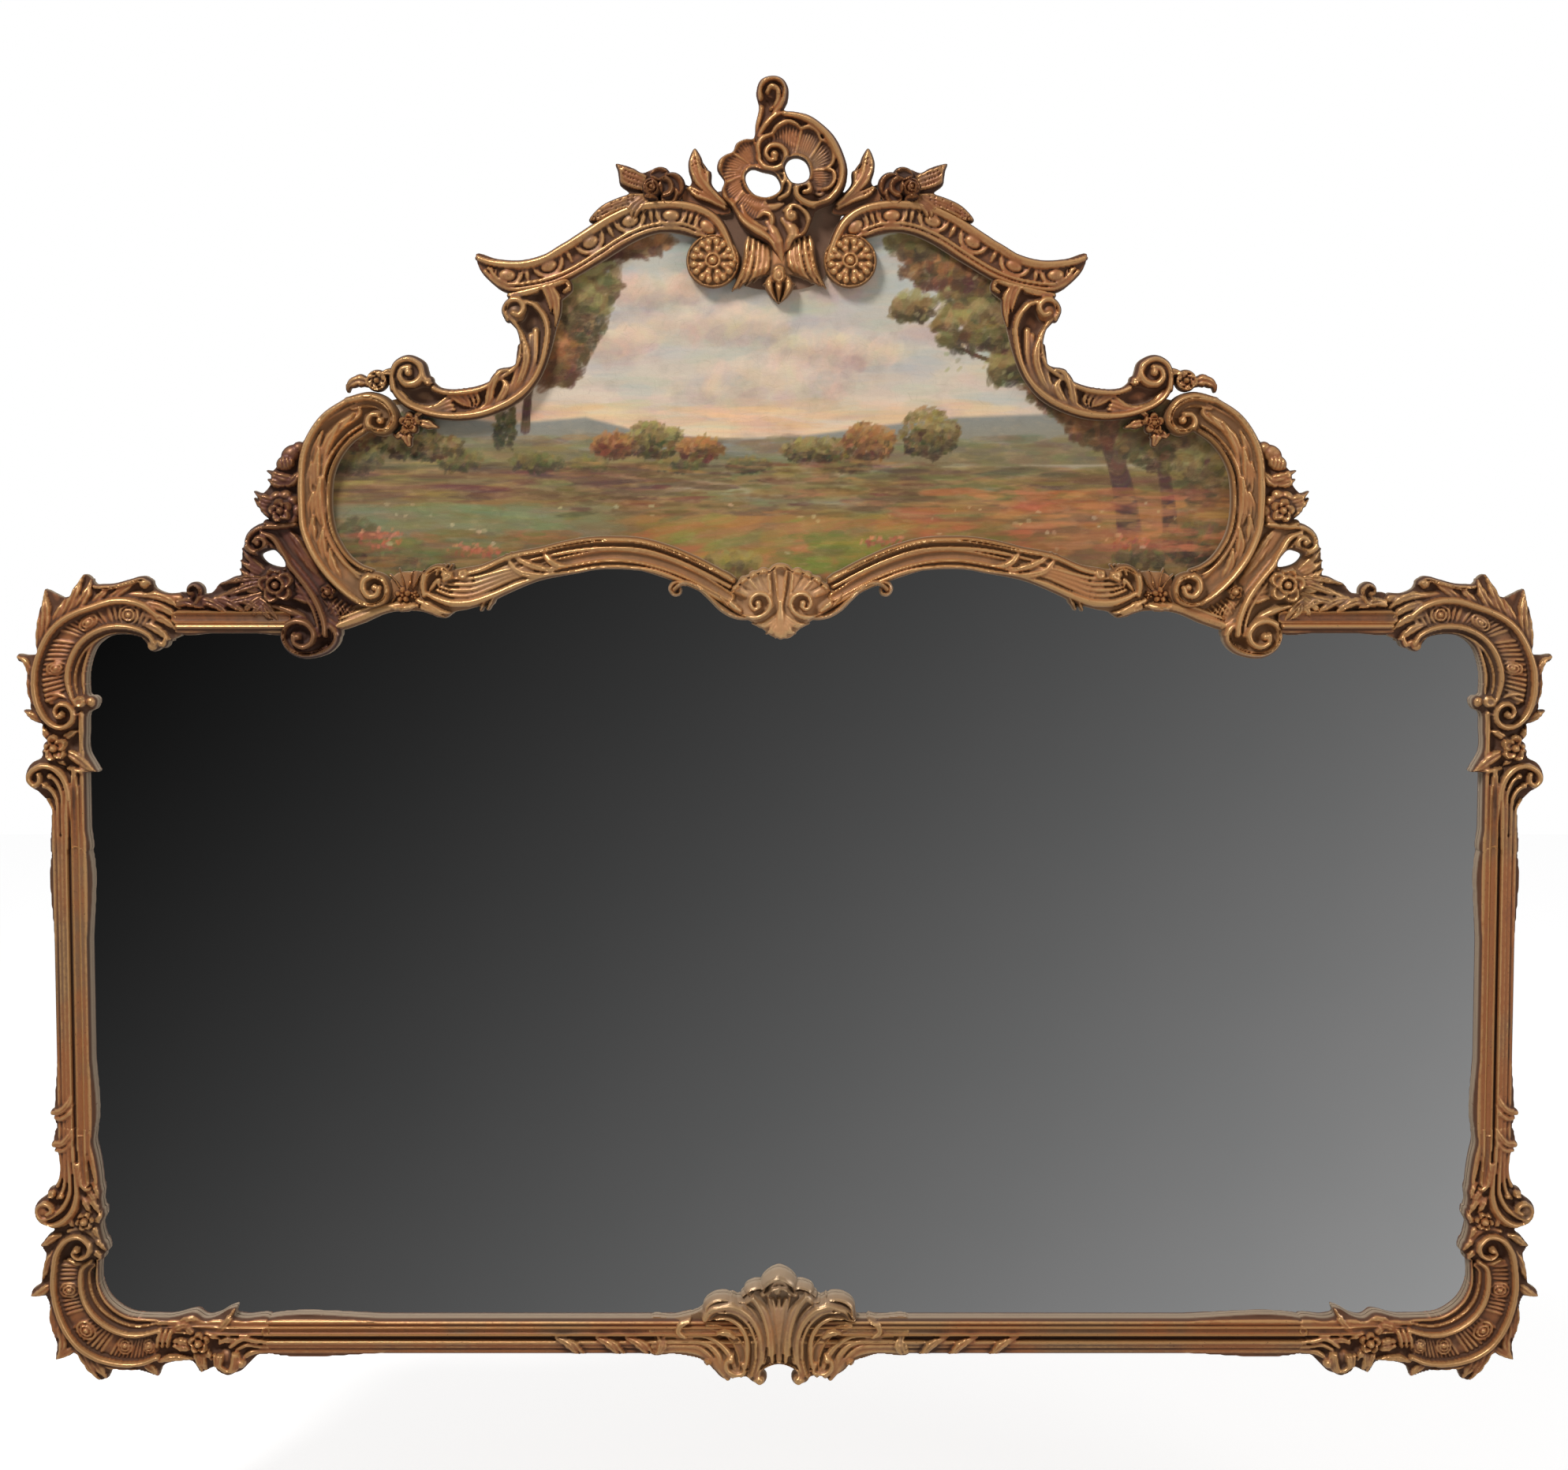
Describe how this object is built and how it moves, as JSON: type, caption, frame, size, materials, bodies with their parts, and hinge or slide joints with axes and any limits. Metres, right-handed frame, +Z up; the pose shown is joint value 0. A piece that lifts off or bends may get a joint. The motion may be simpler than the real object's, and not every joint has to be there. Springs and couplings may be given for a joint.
{
  "type": "trumeau mirror",
  "caption": "Wide overmantel mirror in a carved, gilded frame, with a painted landscape panel above the glass under an arched crest.",
  "frame": {"origin": "on the wall plane, on the glass's centre line, at mid height of the back frame's bottom rail", "axes": "+X to the right seen from the front, +Y into the wall, +Z up; the front faces -Y"},
  "size_m": [1.7952, 0.062, 1.534],
  "materials": {
    "gilded_wood": "worn gold patina",
    "pine": "raw aged pine",
    "backboard": "raw board",
    "silvered_glass": "polished",
    "painted_panel": "oil painted",
    "steel": "dull"
  },
  "bodies": {
    "root": {"arch_left": "gilded_wood", "arch_right": "gilded_wood", "back_bottom_rail": "pine", "back_stile_left": "pine", "back_stile_right": "pine", "back_top_rail_left": "pine", "back_top_rail_right": "pine", "bottom_rail": "gilded_wood", "bottom_shell": "gilded_wood", "bracket_left": "gilded_wood", "bracket_right": "gilded_wood", "centre_upright": "pine", "corner_lower_left": "gilded_wood", "corner_lower_right": "gilded_wood", "corner_upper_left": "gilded_wood", "corner_upper_right": "gilded_wood", "crest_board": "gilded_wood", "crest_cartouche": "gilded_wood", "crest_leaf_left": "gilded_wood", "crest_leaf_right": "gilded_wood", "cross_batten": "pine", "fillet_screws": "steel", "glass_backboard": "backboard", "glazing_fillets": "pine", "hanger_screws": "steel", "hanger_strap_left": "steel", "hanger_strap_right": "steel", "mid_rail_left": "gilded_wood", "mid_rail_right": "gilded_wood", "mid_shell": "gilded_wood", "mid_spray_left": "gilded_wood", "mid_spray_right": "gilded_wood", "mirror_glass": "silvered_glass", "neck_left": "gilded_wood", "neck_right": "gilded_wood", "painted_panel": "painted_panel", "pendant_leaves": "gilded_wood", "rose_spray_left": "gilded_wood", "rose_spray_right": "gilded_wood", "rosette_left": "gilded_wood", "rosette_right": "gilded_wood", "shoulder_flowers_left": "gilded_wood", "shoulder_flowers_right": "gilded_wood", "shoulder_left": "gilded_wood", "shoulder_right": "gilded_wood", "side_bouquet_left": "gilded_wood", "side_bouquet_right": "gilded_wood", "stile_left": "gilded_wood", "stile_right": "gilded_wood", "top_garland_left": "gilded_wood", "top_garland_right": "gilded_wood", "top_rail_left": "gilded_wood", "top_rail_right": "gilded_wood", "transom": "pine", "upright_left": "pine", "upright_right": "pine"},
    "ring_left": {"hanger_ring_left": "steel"},
    "ring_right": {"hanger_ring_right": "steel"}
  },
  "joints": [
    {"name": "hanger_left", "type": "hinge", "parent": "root", "child": "ring_left", "pos_m": [-0.3335, -0.00434, 1.032], "axis": [1, 0, 0], "range_deg": [0, 180]},
    {"name": "hanger_right", "type": "hinge", "parent": "root", "child": "ring_right", "pos_m": [0.3265, -0.00434, 1.032], "axis": [1, 0, 0], "range_deg": [0, 180]}
  ]
}
